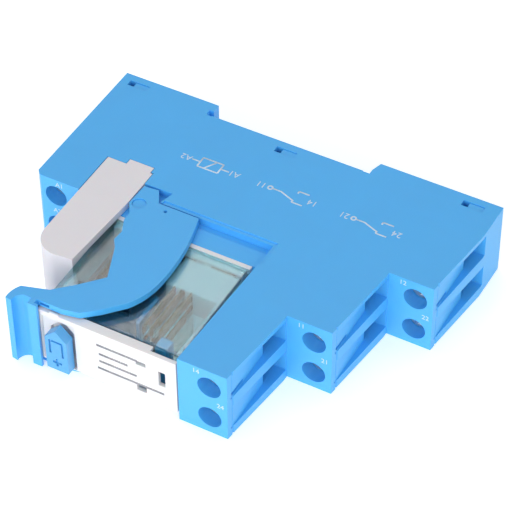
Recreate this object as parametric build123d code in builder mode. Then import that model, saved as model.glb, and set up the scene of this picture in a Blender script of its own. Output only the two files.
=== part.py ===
from build123d import *
import os

# Plug in relay in a stepped rail socket, lying on its side.
# Millimetres.  +Z is the thickness, +X points to the stepped contact tiers, +Y to the rail.
# Origin: middle of the rail seat, at half the thickness.

# ---- Socket: overall sizes ----
thickness = 15.8
top_wall = 1.6
cover_thickness = 1.2
left_side = -38.45
tier_width = 11.0
tier_step = 18.25
tier_count = 3
last_tier_front = -22.1
side_taper = 1.85
corner_inset = 2.0
groove_depth = 0.3
coil_front = -30.0
coil_corner_chamfer = 1.0

# ---- Rail notch and latch ----
rail_width = 35.0
rail_fit = 0.12
rail_depth = 3.3
rail_flange = 1.0
hook_undercut = 0.9
notch_foot = 0.7
seat_relief = 0.15
seat_margin = 0.3
latch_nose = 1.8
latch_travel = 1.4
latch_thickness = 1.2
latch_height = 6.0
latch_length = 8.0
latch_spring_length = 3.8
latch_spring_turns = 6
latch_wire = 0.3

# ---- Relay bay ----
bay_floor = -31.0
bay_mouth_gap = 0.25
bay_floor_gap = 1.4
tier_offset = 1.2
recess_edge = -25.7
recess_step_x = -13.2
recess_step_edge = -22.7
recess_slant = 0.4
rim_width = 0.7
rim_depth = 0.3
side_gap = 0.15
slide_gap = 0.1

# ---- Relay ----
relay_length = 28.65
relay_setback = 0.1
base_thickness = 2.6
base_lip = 0.9
can_wall = 0.7
can_gap = 0.05
plate_depth = 2.0
plate_face = 0.9
pin_length = 4.8
pin_thickness = 0.8
pin_height = 2.2
coil_pin_offset = 3.35
contact_pin_offsets = (2.3, 7.6, 12.9)

# ---- Module ----
module_left = -28.8
module_right = -20.0
module_rear = -18.2
module_step = 1.4
module_step_x = -24.85
module_front = -46.9
module_corner = 5.0
module_wall = 1.1
shoulder_width = 1.05
shoulder_rear_width = 0.5
shoulder_length = 8.6
module_blade_length = 3.0

# ---- Clip ----
arm_thickness = 1.35
arm_gap = 0.3
clip_inset = 0.02
pivot_offset = 2.85
pivot_y = -27.9
pivot_radius = 1.3
pivot_fit = 0.06
bar_width = 1.1
bar_gap = 0.25
lip_overlap = 0.55
arm_setback = 0.7
lip_thickness = 0.6
lip_gap = 0.3

# ---- Terminals ----
bore_radius = 2.35
head_radius = 2.25
head_length = 2.2
head_depth = 2.8
seat_depth = 5.1
shank_radius = 1.45
shank_fit = 0.05
shank_end = 13.8
cage_length = 4.4
cage_wall = 0.6
cage_start = 11.6
cage_end = 18.8
cage_nut = 1.2
cage_floor = 0.9
cell_start = 5.6
cell_clearance = 0.2
divider_thickness = 2.7
divider_gap = 0.15
contact_inset = 5.6
coil_inset = 4.25
channel_wall = 1.2
channel_low = 1.7
channel_high = 3.2
channel_flare = 0.4
tab_depth = 14.4

# ---- Bus strips ----
strip_thickness = 0.8
strip_height = 2.6
strip_fit = 0.1
fork_length = 5.0
fork_prong = 0.5
fork_setback = 0.8
pin_fit = 0.05

# ---- Test button ----
button_offset = 2.55
button_width = 4.6
button_bottom = -5.6
button_shoulder = 2.3
button_point = 4.5
button_proud = 2.0

# ---- Worked out from the sizes above ----
half = thickness / 2
cover_top = -half + cover_thickness
roof = half - top_wall
notch_half = rail_width / 2 + rail_fit
relay_half = half - arm_thickness - arm_gap
relay_width = 2 * relay_half
block_top = relay_half + slide_gap
block_left = module_right + side_gap
coil_right = module_left - side_gap
relay_left = block_left
relay_right = relay_left + relay_length
bay_mouth = relay_right + bay_mouth_gap
bay_right = relay_right + bay_floor_gap
slot_rear = module_rear + slide_gap
step_rear = slot_rear - module_step
tier_sides = [relay_right + tier_offset + tier_width * i for i in range(1, tier_count + 1)]
tier_fronts = [last_tier_front - tier_step * (tier_count - 1 - i) for i in range(tier_count)]
tier_inner = [bay_mouth] + tier_sides[:-1]
taper_length = tier_step - 1.25
relay_front = tier_fronts[0] - relay_setback
arm_front = relay_front + arm_setback
contact_pin_x = [relay_right - offset for offset in contact_pin_offsets]
coil_pin_x = relay_left + coil_pin_offset
pivot_x = relay_left + pivot_offset
cage_height = (roof - cover_top - 3 * cell_clearance - divider_thickness - 2 * divider_gap) / 2
upper_z = roof - cell_clearance - cage_height / 2
lower_z = cover_top + 2 * cell_clearance + cage_height / 2
screw_levels = (upper_z, lower_z)
divider_bottom = lower_z + cage_height / 2 + divider_gap
divider_top = upper_z - cage_height / 2 - divider_gap
window_start = cage_start + cage_nut
window_end = cage_end - cage_floor
module_blade_x = (module_step_x + block_left) / 2
fork_end = bay_floor + fork_setback + fork_length
# Each terminal column: screw centre X, front Y, outer side X and the way its wire side faces.
columns = [(side - contact_inset, front, side, 1) for side, front in zip(tier_sides, tier_fronts)]
columns.append((left_side + coil_inset, coil_front, left_side, -1))

os.makedirs("parts", exist_ok=True)


def save(part, name):
    """Label a finished piece and write it as its own file."""
    part.label = name
    export_step(part, f"parts/{name}.step")


def strip(points, width):
    """Add straight runs of a flat strip, in plan, to the open sketch."""
    for (x0, y0), (x1, y1) in zip(points, points[1:]):
        with Locations(((x0 + x1) / 2, (y0 + y1) / 2)):
            Rectangle(abs(x1 - x0) + width, abs(y1 - y0) + width)


def housing_points():
    """Corners of the housing in plan, from the rear left, clockwise."""
    lip_y = rail_flange + 0.3
    points = [
        (left_side, rail_depth),
        (-notch_half, rail_depth),
        (-notch_half, lip_y),
        (-notch_half - hook_undercut, lip_y),
        (-notch_half - hook_undercut, -seat_relief),
        (-notch_half + seat_margin, -seat_relief),
        (-notch_half + seat_margin, 0),
        (notch_half - latch_nose - seat_margin, 0),
        (notch_half - latch_nose - seat_margin, -seat_relief),
        (notch_half - notch_foot, -seat_relief),
        (notch_half - notch_foot, rail_flange),
        (notch_half, rail_depth),
        (tier_sides[-1], rail_depth),
    ]
    for i in reversed(range(tier_count)):
        side, front = tier_sides[i], tier_fronts[i]
        points += [
            (side, front + taper_length),
            (side - side_taper, front + corner_inset),
            (side - side_taper - groove_depth, front + corner_inset - groove_depth),
            (side - side_taper, front + corner_inset - 2 * groove_depth),
            (side - corner_inset, front),
            (tier_inner[i], front),
        ]
    points += [
        (bay_right, bay_floor),
        (block_left, bay_floor),
        (block_left, slot_rear),
        (module_step_x, slot_rear),
        (module_step_x, step_rear),
        (coil_right, step_rear),
        (coil_right, coil_front),
        (left_side + coil_corner_chamfer, coil_front),
        (left_side, coil_front + coil_corner_chamfer),
    ]
    return points


def recess_points():
    """Corners of the side recess over the relay block, in plan."""
    shoulder_x = module_right + shoulder_width + side_gap
    rear_x = module_right + shoulder_rear_width + side_gap
    past_left, past_floor = block_left - 1.0, bay_floor - 1.0
    return [
        (past_left, slot_rear),
        (rear_x, slot_rear),
        (rear_x, step_rear),
        (shoulder_x, step_rear),
        (shoulder_x, recess_step_edge),
        (recess_step_x + recess_slant, recess_step_edge),
        (recess_step_x - recess_slant, recess_edge),
        (bay_right, recess_edge),
        (bay_right, past_floor),
        (past_left, past_floor),
    ]


def bus_routes():
    """Plan route of each bus strip, from its fork to its tab in the cage."""
    fork_y = fork_end
    wall_run = [bay_right + 1.5] + [inner + 1.6 for inner in tier_inner[1:]]
    turns = (fork_y + 2.7, fork_y + 5.7, tier_fronts[2] + tab_depth)
    routes = []
    for i in range(tier_count):
        screw_x, front = columns[i][0], columns[i][1]
        tab_y = front + tab_depth
        run_x = wall_run[i] if i < tier_count - 1 else screw_x - 1.5
        start = (contact_pin_x[i], fork_y)
        corners = [(start[0], turns[i]), (run_x, turns[i]), (run_x, tab_y)]
        routes.append([start, *corners, (screw_x - 0.8, tab_y)])
    screw_x, front = columns[3][0], columns[3][1]
    tab_y = front + tab_depth
    coil_turn = slot_rear + module_blade_length + 1.2
    coil_run = coil_right - 1.45
    start = (coil_pin_x, fork_y)
    corners = [(start[0], coil_turn), (coil_run, coil_turn), (coil_run, tab_y)]
    routes.append([start, *corners, (screw_x + 0.8, tab_y)])
    return routes


def fork(x):
    """Add the two prongs that grip one relay blade, in plan, to the open sketch."""
    inner = pin_thickness / 2 + pin_fit
    centre_y = fork_end - fork_length / 2
    with Locations((x - inner - fork_prong / 2, centre_y), (x + inner + fork_prong / 2, centre_y)):
        Rectangle(fork_prong, fork_length)
    with Locations((x, fork_end)):
        Rectangle(2 * (inner + fork_prong), strip_thickness)


def fork_pocket(x, front, shrink=0.0):
    """Add the pocket round one fork, from the given front, to the open sketch."""
    inner = pin_thickness / 2 + pin_fit + fork_prong + strip_fit - shrink
    rear = fork_end + strip_thickness / 2 + strip_fit - shrink
    with Locations((x, (front + rear) / 2)):
        Rectangle(2 * inner, rear - front)


def cells(shrink=0.0):
    """Add every cage cell in plan to the open sketch."""
    for screw_x, front, _, _ in columns:
        start, end = front + cell_start, front + cage_end + 0.4
        with Locations((screw_x, (start + end) / 2)):
            Rectangle(cage_length + 2 * (cell_clearance - shrink), end - start - 2 * shrink)


# ---- Snap tongues: their places along the rear ----
tongue_places = [(left_side + 4.6, 1.0), (0.8, -2.4), (tier_sides[-1] - 4.6, 1.0)]
tongue_length = 3.0
tongue_width = 1.3
tongue_window = 1.2


with BuildPart() as housing_body:
    with BuildSketch(Plane.XY.offset(cover_top)):
        with BuildLine():
            Polyline(*housing_points(), close=True)
        make_face()
    extrude(amount=half - cover_top)
    # The side recess over the relay block, on both sides.
    with BuildSketch(Plane.XY.offset(block_top)):
        with BuildLine():
            Polyline(*recess_points(), close=True)
        make_face()
    extrude(amount=half, mode=Mode.SUBTRACT)
    with BuildSketch(Plane.XY.offset(-block_top)):
        with BuildLine():
            Polyline(*recess_points(), close=True)
        make_face()
    extrude(amount=-half, mode=Mode.SUBTRACT)
    # A shallow rim along the rear and right edges of the recess.
    with BuildSketch(Plane.XY.offset(half)):
        with Locations(((recess_step_x + bay_right + rim_width) / 2, recess_edge + rim_width / 2)):
            Rectangle(bay_right + rim_width - recess_step_x, rim_width)
        with Locations((bay_right + rim_width / 2, (recess_edge + bay_floor) / 2)):
            Rectangle(rim_width, recess_edge - bay_floor)
    extrude(amount=-rim_depth, mode=Mode.SUBTRACT)
    # A shallow step along the front of the block.
    with BuildSketch(Plane.XY.offset(block_top)):
        with Locations(((pivot_x + 4.5 + bay_right) / 2, recess_edge - 0.7)):
            Rectangle(bay_right - pivot_x - 4.5, 1.4)
    extrude(amount=-0.25, mode=Mode.SUBTRACT)
    # Pivot pins for the clip.
    with BuildSketch(Plane.XY.offset(block_top)):
        with Locations((pivot_x, pivot_y)):
            Circle(pivot_radius)
    extrude(amount=half - 0.25 - block_top)
    with BuildSketch(Plane.XY.offset(-block_top)):
        with Locations((pivot_x, pivot_y)):
            Circle(pivot_radius)
    extrude(amount=-(half - 0.25 - block_top))
    # Cage cells and bus channels, open towards the cover.
    with BuildSketch(Plane.XY.offset(cover_top - 1.0)):
        cells()
    extrude(amount=roof - cover_top + 1.0, mode=Mode.SUBTRACT)
    with BuildSketch(Plane.XY.offset(cover_top - 1.0)):
        for route in bus_routes():
            strip(route, strip_thickness + 2 * strip_fit)
            fork_pocket(route[0][0], front=bay_floor - 0.5)
    extrude(amount=upper_z + strip_height / 2 + strip_fit - cover_top + 1.0, mode=Mode.SUBTRACT)
    # Screw bores with their seats, from the front of each tier.
    for screw_x, front, _, _ in columns:
        for level in screw_levels:
            with BuildSketch(Plane.XZ.offset(-front + 1.0)):
                with Locations((screw_x, level)):
                    Circle(bore_radius)
            extrude(amount=-seat_depth - 1.0, mode=Mode.SUBTRACT)
            with BuildSketch(Plane.XZ.offset(-front)):
                with Locations((screw_x, level)):
                    Circle(shank_radius + 0.15)
            extrude(amount=-cell_start - 0.1, mode=Mode.SUBTRACT)
    # Wire channels on the tier sides, and their windows into the cells.
    for screw_x, front, side, way in columns:
        reach = abs(side - screw_x) - cage_length / 2 - cell_clearance
        depth = reach - channel_wall
        for level in screw_levels:
            low, high = level - channel_low, level + channel_high
            with BuildSketch(Plane.YZ.offset(side - way * depth)):
                with BuildLine():
                    Polyline(
                        (front + corner_inset / 2, low - channel_flare),
                        (front + window_end, low),
                        (front + window_end, high),
                        (front + corner_inset / 2, high),
                        close=True,
                    )
                make_face()
            extrude(amount=way * (depth + 1.0), mode=Mode.SUBTRACT)
            with BuildSketch(Plane.YZ.offset(side + way)):
                with Locations((front + (window_start + window_end) / 2, level)):
                    Rectangle(window_end - window_start - 0.2, cage_height - 2 * cage_wall)
            extrude(amount=-way * (reach + 1.2), mode=Mode.SUBTRACT)
        # A narrow slit in the floor of the upper channel, near its front.
        with BuildSketch(Plane.YZ.offset(side + way)):
            with Locations((front + corner_inset + 1.6, upper_z - channel_low + 0.3)):
                Rectangle(4.2, 0.8)
        extrude(amount=-way * (depth + 1.8), mode=Mode.SUBTRACT)
    # Latch guide behind the right wall of the notch.
    latch_y = rail_flange + 0.25 + latch_thickness / 2
    guide_start = notch_half - notch_foot - 0.5
    guide_end = notch_half - latch_nose + latch_length + latch_spring_length
    with BuildSketch(Plane.YZ.offset(guide_start)):
        with Locations((latch_y, 0)):
            Rectangle(latch_thickness + 2 * slide_gap, latch_height + 2 * slide_gap)
    extrude(amount=guide_end - guide_start, mode=Mode.SUBTRACT)
    # Windows for the cover's snap tongues.
    for x, y in tongue_places:
        with BuildSketch(Plane.XY.offset(cover_top - 1.0)):
            with Locations((x - tongue_window / 2, y)):
                Rectangle(tongue_length + tongue_window + slide_gap, tongue_width + 2 * slide_gap)
        extrude(amount=thickness + 1.0, mode=Mode.SUBTRACT)
    # Slots for the module's blades.
    with BuildSketch(Plane.XZ.offset(-slot_rear + 0.5)):
        for level in screw_levels:
            with Locations((module_blade_x, level)):
                Rectangle(pin_thickness + 2 * slide_gap, pin_height + 2 * slide_gap)
    extrude(amount=-module_blade_length - 0.7, mode=Mode.SUBTRACT)
save(housing_body.part, "housing_body")


with BuildPart() as housing_cover:
    with BuildSketch(Plane.XY.offset(-half)):
        with BuildLine():
            Polyline(*housing_points(), close=True)
        make_face()
        with BuildLine():
            Polyline(*recess_points(), close=True)
        make_face(mode=Mode.SUBTRACT)
    extrude(amount=cover_thickness)
    # Snap tongues that rise through the body.
    for x, y in tongue_places:
        with BuildSketch(Plane.XY.offset(cover_top)):
            with Locations((x, y)):
                Rectangle(tongue_length - slide_gap, tongue_width)
        extrude(amount=half - 0.2 - cover_top)
save(housing_cover.part, "housing_cover")


with BuildPart() as terminal_dividers:
    with BuildSketch(Plane.XY.offset(divider_bottom)):
        cells(shrink=0.1)
        for route in bus_routes():
            strip(route, strip_thickness)
            fork_pocket(route[0][0], front=bay_floor + 0.3, shrink=0.1)
    extrude(amount=divider_top - divider_bottom)
save(terminal_dividers.part, "terminal_dividers")


def bus_pair(index):
    """One contact's two strips, one at each level, as separate solids."""
    route = bus_routes()[index]
    with BuildPart() as pair:
        for level in screw_levels:
            with BuildSketch(Plane.XY.offset(level - strip_height / 2)):
                strip(route, strip_thickness)
                fork(route[0][0])
            extrude(amount=strip_height)
    return pair.part


for index, name in enumerate(("open_bus", "common_bus", "closed_bus", "coil_bus")):
    save(bus_pair(index), name)


def terminal_screw(x, front, level):
    """Cross-slotted cheese-head screw whose axis lies along Y."""
    with BuildPart() as screw:
        with BuildSketch(Plane.XZ.offset(-front - head_depth)):
            with Locations((x, level)):
                Circle(head_radius)
        extrude(amount=-head_length)
        chamfer(screw.edges().filter_by(GeomType.CIRCLE).sort_by(Axis.Y)[0], 0.25)
        with BuildSketch(Plane.XZ.offset(-front - head_depth)):
            with Locations((x, level)):
                Rectangle(2 * head_radius + 1, 0.7)
                Rectangle(0.7, 2.6)
        extrude(amount=-1.1, mode=Mode.SUBTRACT)
        with BuildSketch(Plane.XZ.offset(-front - head_depth - head_length)):
            with Locations((x, level)):
                Circle(shank_radius)
        extrude(amount=-(shank_end - head_depth - head_length))
        chamfer(screw.edges().filter_by(GeomType.CIRCLE).sort_by(Axis.Y)[-1], 0.3)
    return screw.part


def clamp_cage(x, front, level):
    """Rectangular box clamp, open along X, with the threaded wall in front."""
    centre_y = front + (cage_start + cage_end) / 2
    window_y = front + (window_start + window_end) / 2
    with BuildPart() as cage:
        with BuildSketch(Plane.YZ.offset(x - cage_length / 2)):
            with Locations((centre_y, level)):
                RectangleRounded(cage_end - cage_start, cage_height, 0.5)
            with Locations((window_y, level)):
                Rectangle(window_end - window_start, cage_height - 2 * cage_wall, mode=Mode.SUBTRACT)
        extrude(amount=cage_length)
        with BuildSketch(Plane.XZ.offset(-front - cage_start + 1.0)):
            with Locations((x, level)):
                Circle(shank_radius + shank_fit)
        extrude(amount=-cage_nut - 1.2, mode=Mode.SUBTRACT)
    return cage.part


number = 0
for screw_x, front, _, _ in columns:
    for level in screw_levels:
        number += 1
        save(terminal_screw(screw_x, front, level), f"terminal_screw_{number}")
        save(clamp_cage(screw_x, front, level), f"clamp_cage_{number}")


with BuildPart() as rail_latch:
    nose_x = notch_half - latch_nose
    tail_x = nose_x + latch_length - latch_travel
    inner_y, outer_y = latch_y - latch_thickness / 2, latch_y + latch_thickness / 2
    with BuildSketch(Plane.XY.offset(-latch_height / 2)):
        # The nose slopes towards the rail, so that the rail pushes the latch aside.
        with BuildLine():
            Polyline(
                (nose_x, inner_y), (tail_x, inner_y), (tail_x, outer_y), (nose_x + 1.3, outer_y),
                (nose_x, inner_y + 0.35), close=True,
            )
        make_face()
    extrude(amount=latch_height)
save(rail_latch.part, "rail_latch")

with BuildPart() as rail_latch_spring:
    step = (guide_end - tail_x - latch_wire) / latch_spring_turns
    swing = latch_height / 2 - 0.5
    bend_start = tail_x + latch_wire / 2
    with BuildSketch(Plane.XZ.offset(-inner_y - slide_gap)):
        with BuildLine():
            Polyline(*[(bend_start + step * i, swing * (-1) ** i) for i in range(latch_spring_turns + 1)])
            offset(amount=latch_wire / 2)
        make_face()
    extrude(amount=-(latch_thickness - 2 * slide_gap))
save(rail_latch_spring.part, "rail_latch_spring")


# ---- Retaining clip ----
bar_right = relay_left - bar_gap
bar_left = bar_right - bar_width
lip_rear = relay_front - lip_gap
lip_front = lip_rear - lip_thickness
arm_rear = recess_edge - 0.45
clip_half = half - clip_inset
bend_y = arm_front + 6.8
arm_run = arm_rear - bend_y


def arm_outline():
    """Plan of one arm of the clip: its rear follows the pivot and its front follows the lip."""
    x, y = pivot_x, pivot_y
    with BuildSketch() as outline:
        with BuildLine():
            Polyline((x - 1.55, y + 4.5), (x + 1.5, y + 4.8), (x + 3.25, arm_rear), (x + 11.8, arm_rear))
            Spline(
                (x + 11.8, arm_rear),
                (x + 13.6, arm_rear - 0.31 * arm_run),
                (x + 14.1, arm_rear - 0.57 * arm_run),
                (x + 13.5, arm_rear - 0.83 * arm_run),
                (x + 11.6, bend_y),
            )
            Polyline(
                (x + 11.6, bend_y), (x + 8.2, arm_front + 3.1), (x + 5.4, arm_front + 0.7),
                (x + 2.0, arm_front), (bar_left, arm_front),
                (x - 6.0, arm_front - 0.2), (x - 7.5, arm_front + 0.8),
                (x - 7.5, arm_front + 1.5), (x - 2.4, arm_front + 3.1), (x + 0.9, arm_front + 6.2),
                (x + 5.0, arm_front + 10.7), (x + 2.1, y - 12.0), (x + 0.9, y - 10.4), (x + 1.1, y - 8.0),
                (x - 0.2, y - 5.0), (x - 0.2, y - 3.1), (x - 1.7, y - 0.7), (x - 1.55, y + 4.5),
            )
        make_face()
    return outline.sketch


def horn_outline():
    """Plan of the cross bar and the curved finger horn."""
    x, y = bar_left, arm_front
    with BuildSketch() as outline:
        with BuildLine():
            Line((bar_right, y + 0.8), (x - 3.3, y + 1.5))
            ThreePointArc((x - 3.3, y + 1.5), (x - 4.1, y - 0.3), (x - 4.2, y - 2.2))
            Line((x - 4.2, y - 2.2), (x - 2.9, y - 2.4))
            ThreePointArc((x - 2.9, y - 2.4), (x - 2.5, y - 0.9), (x - 1.6, y - 0.2))
            Polyline(
                (x - 1.6, y - 0.2), (x, y - 0.2), (x, lip_front),
                (relay_left + lip_overlap, lip_front), (relay_left + lip_overlap, lip_rear),
                (bar_right, lip_rear), (bar_right, y + 0.8),
            )
        make_face()
    return outline.sketch


with BuildPart() as retaining_clip:
    for bottom in (-clip_half, clip_half - arm_thickness):
        with BuildSketch(Plane.XY.offset(bottom)):
            add(arm_outline())
        extrude(amount=arm_thickness)
    with BuildSketch(Plane.XY.offset(-clip_half)):
        add(horn_outline())
    extrude(amount=2 * clip_half)
    # The gap between the two finger horns.
    with BuildSketch(Plane.XZ.offset(-arm_front - 4.0)):
        with BuildLine():
            Polyline(
                (bar_left - 5.3, 2.4), (bar_left - 1.4, 3.0), (bar_left, 2.0), (bar_left, 0.4),
                (bar_left - 1.4, -0.4), (bar_left - 5.3, -3.3), close=True,
            )
        make_face()
    extrude(amount=-8.0, mode=Mode.SUBTRACT)
    # Holes for the pivot pins, and a small round gate mark on each arm.
    with BuildSketch(Plane.XY.offset(-half)):
        with Locations((pivot_x, pivot_y)):
            Circle(pivot_radius + pivot_fit)
        with Locations((pivot_x + 5.45, pivot_y + 0.4)):
            Circle(0.35)
    extrude(amount=thickness, mode=Mode.SUBTRACT)
    # The small slot in the front of each arm.
    with BuildSketch(Plane.XZ.offset(-arm_front + 0.5)):
        with Locations((bar_right + 1.5, half - 0.75), (bar_right + 1.5, -half + 0.75)):
            Rectangle(2.0, 0.6)
    extrude(amount=-1.7, mode=Mode.SUBTRACT)
save(retaining_clip.part, "retaining_clip")


# ---- Indicator module ----
module_half = half - 0.05


def module_outline(inset=0.0):
    """Plan of the module, or the same outline moved in."""
    left, right, front = module_left + inset, module_right - inset, module_front + inset
    rear, radius = module_rear - inset, module_corner - inset
    step_x = module_step_x + slide_gap + inset
    with BuildSketch() as outline:
        with BuildLine():
            Polyline(
                (left, front + radius), (left, rear - module_step),
                (step_x, rear - module_step), (step_x, rear),
                (right, rear), (right, front + 0.4), (left + radius, front),
            )
            RadiusArc((left + radius, front), (left, front + radius), radius)
        make_face()
    return outline.sketch


def shoulder():
    """Plan of the module's small shoulder, which tapers towards the front."""
    top = step_rear - slide_gap - side_gap
    inner, outer = module_right - 0.5, module_right + shoulder_width
    with BuildSketch() as outline:
        with BuildLine():
            Polyline(
                (inner, module_rear), (module_right + shoulder_rear_width, module_rear),
                (module_right + shoulder_rear_width, top), (outer, top), (outer, top - shoulder_length),
                (module_right, module_front + 1.0), (inner, module_front + 1.0), close=True,
            )
        make_face()
    return outline.sketch


lamp_x = (module_left + module_right) / 2 + 0.6
with BuildPart() as module_shell:
    with BuildSketch(Plane.XY.offset(-module_half + module_wall)):
        add(module_outline())
    extrude(amount=2 * module_half - module_wall)
    with BuildSketch(Plane.XY.offset(-module_half + module_wall)):
        add(module_outline(inset=module_wall))
    extrude(amount=2 * module_half - 2 * module_wall, mode=Mode.SUBTRACT)
    with BuildSketch(Plane.XY.offset(block_top + 0.05)):
        add(shoulder())
    extrude(amount=module_half - block_top - 0.05)
    # Ways out for the blades and the lamp.
    with BuildSketch(Plane.XZ.offset(-module_rear - module_wall)):
        for level in screw_levels:
            with Locations((module_blade_x, level)):
                Rectangle(pin_thickness + 2 * pin_fit, pin_height + 2 * pin_fit)
    extrude(amount=3 * module_wall, mode=Mode.SUBTRACT)
    with BuildSketch(Plane.XZ.offset(-module_front - 2 * module_wall)):
        with Locations((lamp_x, lower_z)):
            Circle(1.3)
    extrude(amount=4 * module_wall, mode=Mode.SUBTRACT)
save(module_shell.part, "module_shell")

with BuildPart() as module_lid:
    with BuildSketch(Plane.XY.offset(-module_half)):
        add(module_outline())
        add(shoulder())
    extrude(amount=module_wall - 0.02)
save(module_lid.part, "module_lid")

board_x = module_blade_x - 3.4
with BuildPart() as module_board:
    with BuildSketch(Plane.YZ.offset(board_x)):
        with Locations(((module_rear + module_front) / 2 - 0.4, 0)):
            Rectangle(module_rear - module_front - 8.5, 2 * module_half - 2 * module_wall - 1.4)
    extrude(amount=1.0)
save(module_board.part, "module_board")

with BuildPart() as module_components:
    with BuildSketch(Plane.XZ.offset(-module_rear + 11.0)):
        with Locations((board_x + 2.25, 2.6), (board_x + 2.25, -2.6)):
            Circle(1.2)
    extrude(amount=6.0)
    with BuildSketch(Plane.XZ.offset(-module_rear + 9.0)):
        with Locations((board_x + 2.25, 2.6), (board_x + 2.25, -2.6)):
            Circle(0.3)
    extrude(amount=10.0)
save(module_components.part, "module_components")

with BuildPart() as module_lamp:
    with BuildSketch(Plane.XZ.offset(-module_front - 0.2)):
        with Locations((lamp_x, lower_z)):
            Circle(1.2)
    extrude(amount=-3.6)
    fillet(module_lamp.edges().filter_by(GeomType.CIRCLE).sort_by(Axis.Y)[0], 0.8)
save(module_lamp.part, "module_lamp")

with BuildPart() as module_blades:
    with BuildSketch(Plane.XZ.offset(-module_rear - module_blade_length)):
        for level in screw_levels:
            with Locations((module_blade_x, level)):
                Rectangle(pin_thickness, pin_height)
    extrude(amount=module_blade_length + 6.0)
save(module_blades.part, "module_blades")


# ---- Relay: base, cover and label plate ----
base_rear = bay_floor - can_gap
base_front = base_rear - base_thickness
lip_edge = base_rear - base_lip
cover_front = relay_front + plate_depth + can_gap
inside_front = cover_front + can_wall
inner_half = relay_half - can_wall - can_gap
relay_middle = (relay_left + relay_right) / 2
pin_rear = base_rear + pin_length
pin_places = [(x, level) for x in (*contact_pin_x, coil_pin_x) for level in screw_levels]
leaf_low, leaf_high = 1.2, inner_half - 0.5
button_left = relay_left + button_offset
button_x = button_left + button_width / 2
button_stem_z = (button_bottom + button_shoulder) / 2
stem_radius = 0.8
leaf_x = relay_right - 8.75
leaf_thickness = 0.3
leaf_front = inside_front + 3.35
rivet_y = leaf_front + 1.2
rivet_radius = 0.9
rivet_head = 0.55
contact_gap = 0.55
rest_gap = 0.1
closed_x = leaf_x - leaf_thickness - 2 * rivet_head - rest_gap
open_x = leaf_x + leaf_thickness + 2 * rivet_head + contact_gap
common_x = leaf_x + leaf_thickness + 0.1
foot_y = base_front - 0.3
carrier_rear = base_front - 0.6
carrier_front = base_front - 7.85
carrier_left, carrier_right = relay_right - 12.1, relay_right - can_wall - 0.1
carrier_half = leaf_high + 0.25
# Where the leaves pass through the carrier: the slot's left and right X.
leaf_slots = (
    (closed_x - 0.25, closed_x + 0.25), (leaf_x - 0.25, common_x + 0.25), (open_x - 0.25, open_x + 0.25),
)
rail_thickness = 0.6
frame_front = inside_front + 1.35
frame_thickness = 1.0
frame_low = 1.0
post_width = 2.4

with BuildPart() as relay_base:
    with BuildSketch(Plane.XZ.offset(-base_rear)):
        with Locations((relay_middle, 0)):
            Rectangle(relay_length, relay_width)
    extrude(amount=base_lip)
    with BuildSketch(Plane.XZ.offset(-lip_edge)):
        with Locations((relay_middle, 0)):
            Rectangle(relay_length - 2 * can_wall - 0.1, 2 * inner_half)
    extrude(amount=base_thickness - base_lip)
    with BuildSketch(Plane.XZ.offset(-base_rear - 0.5)):
        with Locations(*pin_places):
            Rectangle(pin_thickness + 2 * pin_fit, pin_height + 2 * pin_fit)
    extrude(amount=base_thickness + 1.0, mode=Mode.SUBTRACT)
    # The carrier block that the contact leaves pass through, on a web in the middle.
    with BuildSketch(Plane.XZ.offset(-base_front)):
        with Locations(((carrier_left + carrier_right) / 2, 0)):
            Rectangle(carrier_right - carrier_left, 2 * (leaf_low - 0.3))
    extrude(amount=base_front - carrier_rear)
    with BuildSketch(Plane.XZ.offset(-carrier_rear)):
        with Locations(((carrier_left + carrier_right) / 2, 0)):
            Rectangle(carrier_right - carrier_left, 2 * carrier_half)
    extrude(amount=carrier_rear - carrier_front)
    with BuildSketch(Plane.XZ.offset(-carrier_rear - 0.1)):
        for left, right in leaf_slots:
            for way in (1, -1):
                with Locations(((left + right) / 2, way * (leaf_low + leaf_high) / 2)):
                    Rectangle(right - left, leaf_high - leaf_low + 0.2)
    extrude(amount=carrier_rear - carrier_front + 0.2, mode=Mode.SUBTRACT)
    # The side rail that runs forward to the inner frame.
    with BuildSketch(Plane.XZ.offset(-carrier_front)):
        with Locations((carrier_right - rail_thickness / 2, 0)):
            Rectangle(rail_thickness, 2 * carrier_half)
    extrude(amount=carrier_front - frame_front - frame_thickness)
save(relay_base.part, "relay_base")

with BuildPart() as relay_cover:
    with BuildSketch(Plane.XZ.offset(-lip_edge + 0.02)):
        with Locations((relay_middle, 0)):
            Rectangle(relay_length, relay_width)
    extrude(amount=lip_edge - cover_front - 0.02)
    with BuildSketch(Plane.XZ.offset(-lip_edge + 0.02)):
        with Locations((relay_middle, 0)):
            Rectangle(relay_length - 2 * can_wall, relay_width - 2 * can_wall)
    extrude(amount=lip_edge - inside_front - 0.02, mode=Mode.SUBTRACT)
    with BuildSketch(Plane.XZ.offset(-cover_front + 0.5)):
        with Locations((button_x, button_stem_z)):
            Circle(stem_radius + 0.15)
    extrude(amount=-can_wall - 1.0, mode=Mode.SUBTRACT)
save(relay_cover.part, "relay_cover")


def button_outline(margin=0.0):
    """House-shaped outline of the button, or the same outline moved out."""
    left, right = button_left - margin, button_left + button_width + margin
    low, peak = button_bottom - margin, button_point + 1.3 * margin
    with BuildSketch() as outline:
        with BuildLine():
            Polyline(
                (left, low), (right, low), (right, button_shoulder + margin / 2), (button_x, peak),
                (left, button_shoulder + margin / 2), close=True,
            )
        make_face()
    return outline.sketch


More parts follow.
